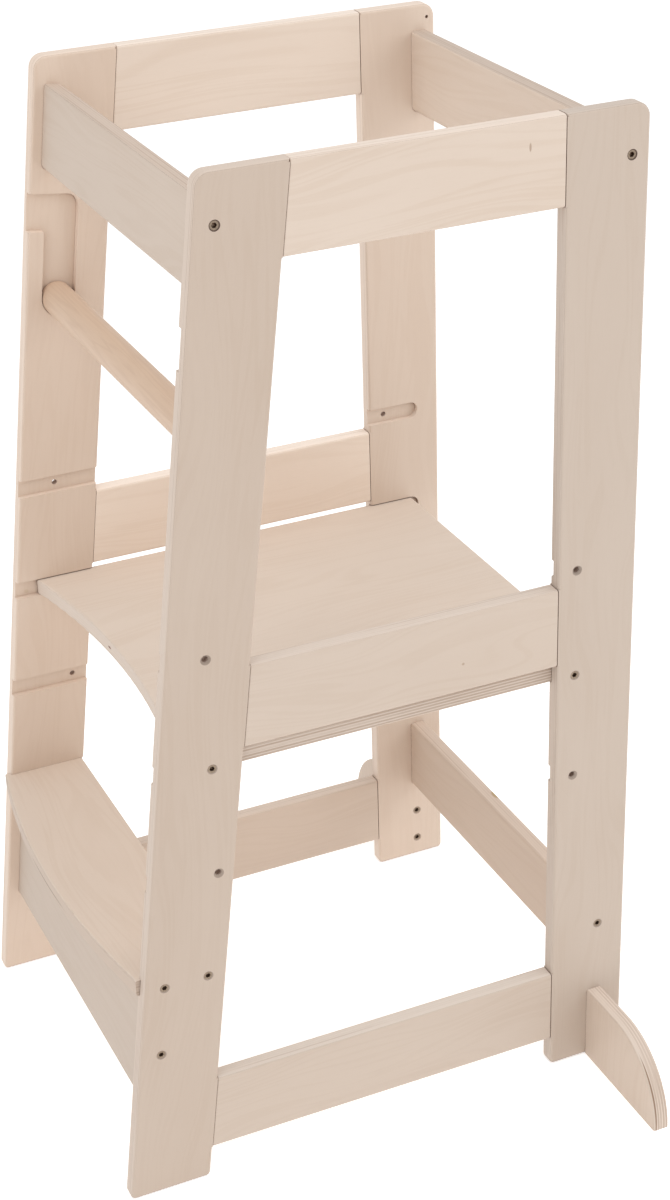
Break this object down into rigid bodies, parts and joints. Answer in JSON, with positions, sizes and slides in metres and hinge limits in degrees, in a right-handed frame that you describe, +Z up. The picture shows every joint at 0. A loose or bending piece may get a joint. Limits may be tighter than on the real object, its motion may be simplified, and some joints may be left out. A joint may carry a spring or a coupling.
{
  "type": "toddler kitchen helper stool",
  "caption": "Plywood learning tower: slanted front legs, upright back legs, height-adjustable platform, bowed step, lift-out safety bar, rails all round and outrigger feet.",
  "frame": {"origin": "on the floor, midway between the side frames and midway between the front toes and the back edge", "axes": "+Z up; +Y towards the worktop side (back), so the step and entry face -Y; +X towards the right side frame"},
  "size_m": [0.631, 0.4865, 0.9],
  "materials": {
    "birch_ply": "satin",
    "birch_decks": "satin",
    "beech_bar": "satin",
    "beech_dowel": "matte",
    "screw_steel": "zinc plated"
  },
  "bodies": {
    "tower": {"back_low_rail": "birch_ply", "back_low_rail_dowels": "beech_dowel", "back_low_rail_screws": "screw_steel", "back_top_rail": "birch_ply", "back_top_rail_dowels": "beech_dowel", "back_top_rail_screws": "screw_steel", "front_top_rail": "birch_ply", "front_top_rail_dowels": "beech_dowel", "front_top_rail_screws": "screw_steel", "left_back_leg": "birch_ply", "left_foot": "birch_ply", "left_foot_screws": "screw_steel", "left_frame_dowels": "beech_dowel", "left_front_leg": "birch_ply", "left_low_rail": "birch_ply", "left_mid_rail": "birch_ply", "left_top_rail": "birch_ply", "platform": "birch_decks", "platform_screws": "screw_steel", "right_back_leg": "birch_ply", "right_foot": "birch_ply", "right_foot_screws": "screw_steel", "right_frame_dowels": "beech_dowel", "right_front_leg": "birch_ply", "right_low_rail": "birch_ply", "right_mid_rail": "birch_ply", "right_top_rail": "birch_ply", "step_board": "birch_decks", "step_riser": "birch_ply", "step_riser_dowels": "beech_dowel", "step_riser_screws": "screw_steel", "step_screws": "screw_steel"},
    "bar": {"safety_bar": "beech_bar"}
  },
  "joints": [
    {"name": "bar_lift", "type": "slide", "parent": "tower", "child": "bar", "axis": [0, 0.1253, 0.9921], "range_m": [0, 0.078]}
  ]
}
